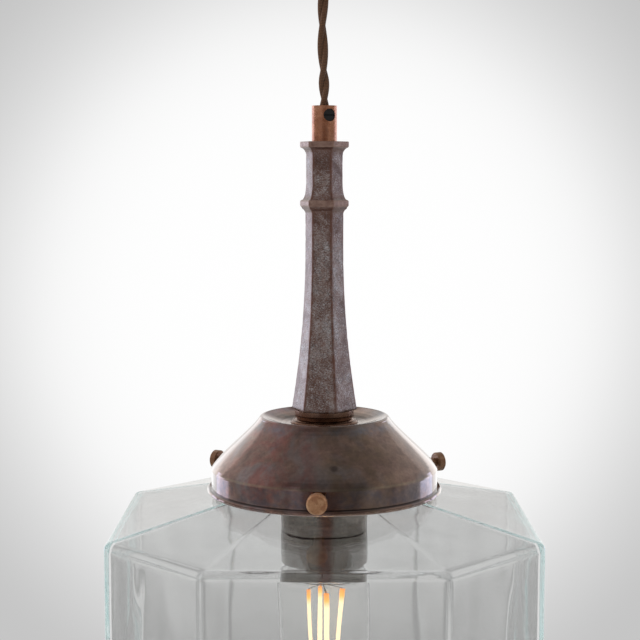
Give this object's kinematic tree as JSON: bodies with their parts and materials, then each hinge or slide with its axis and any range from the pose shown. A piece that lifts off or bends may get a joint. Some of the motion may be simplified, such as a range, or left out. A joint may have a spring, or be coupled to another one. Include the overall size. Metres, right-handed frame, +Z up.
{
  "type": "pendant light",
  "caption": "Hanging light: a twisted flex and a flared cast column carry a spun gallery that clamps an eight-sided clear glass shade round a screw lamp.",
  "frame": {"origin": "middle of the ceiling strap's top face, which lies against the ceiling", "axes": "+Z up along the flex and the stem, -Y towards the side that the picture shows, +X to the right of that side"},
  "size_m": [0.2036, 0.2036, 0.4545],
  "materials": {
    "zinc_steel": "zinc plated",
    "rose_brass": "antique, satin",
    "grip_copper": "copper brown, satin",
    "grub_black": "blackened",
    "bright_brass": "plain",
    "block_plastic": "moulded",
    "flex_braid": "brown braid",
    "cast_bronze": "rough cast, antique bronze",
    "seat_bronze": "turned, antique",
    "gallery_brass": "spun, mottled antique patina",
    "thumb_copper": "copper brown, brushed",
    "clear_glass": "clear, pressed",
    "holder_bronze": "dark bronze, polished",
    "ceramic": "glazed porcelain",
    "lamp_glass": "clear, blown",
    "lamp_nickel": "nickel plated",
    "insulator_black": "black glass",
    "filament_glow": "glowing phosphor"
  },
  "bodies": {
    "pendant": {"rose_strap": "zinc_steel", "rose_cover": "rose_brass", "rose_side_screw_1": "thumb_copper", "rose_side_screw_2": "thumb_copper", "terminal_block": "block_plastic", "terminal_tube_1": "bright_brass", "terminal_tube_2": "bright_brass", "terminal_screws": "zinc_steel", "rose_core_1": "flex_braid", "rose_core_2": "flex_braid", "rose_grip": "grip_copper", "rose_grip_screw": "grub_black", "rose_lock_nut": "bright_brass", "flex_in_rose": "flex_braid", "flex": "flex_braid", "flex_in_stem": "flex_braid", "stem_grip": "grip_copper", "stem_grip_screw": "grub_black", "stem_tube": "bright_brass", "column": "cast_bronze", "column_seat": "seat_bronze", "gallery": "gallery_brass", "gallery_washer": "bright_brass", "gallery_nut": "bright_brass", "thumb_bush_1": "bright_brass", "thumb_bush_2": "bright_brass", "thumb_bush_3": "bright_brass", "glass_shade": "clear_glass", "holder_cap": "holder_bronze", "holder_skirt": "holder_bronze", "holder_insert": "ceramic", "thread_shell": "bright_brass", "centre_contact": "bright_brass", "side_contact": "bright_brass", "holder_terminal_1": "bright_brass", "holder_terminal_2": "bright_brass", "holder_terminal_screw_1": "zinc_steel", "holder_terminal_screw_2": "zinc_steel", "holder_core_1": "flex_braid", "holder_core_2": "flex_braid"},
    "thumb_screw_1": {"thumb_screw_1": "thumb_copper"},
    "thumb_screw_2": {"thumb_screw_2": "thumb_copper"},
    "thumb_screw_3": {"thumb_screw_3": "thumb_copper"},
    "lamp": {"bulb_envelope": "lamp_glass", "bulb_cap": "lamp_nickel", "bulb_insulator": "insulator_black", "bulb_contact": "lamp_nickel", "bulb_stem": "lamp_glass", "bulb_leads": "lamp_nickel", "bulb_filament_1": "filament_glow", "bulb_filament_2": "filament_glow", "bulb_filament_3": "filament_glow", "bulb_filament_4": "filament_glow", "bulb_anchor": "lamp_nickel"}
  },
  "joints": [
    {"name": "thumb_screw_1_out", "type": "slide", "parent": "pendant", "child": "thumb_screw_1", "axis": [-0.0523, -0.9986, 0], "range_m": [0, 0.005]},
    {"name": "thumb_screw_2_out", "type": "slide", "parent": "pendant", "child": "thumb_screw_2", "axis": [0.891, 0.454, 0], "range_m": [0, 0.005]},
    {"name": "thumb_screw_3_out", "type": "slide", "parent": "pendant", "child": "thumb_screw_3", "axis": [-0.8387, 0.5446, 0], "range_m": [0, 0.005]},
    {"name": "lamp_out", "type": "slide", "parent": "pendant", "child": "lamp", "axis": [0, 0, -1], "range_m": [0, 0.0144]}
  ]
}
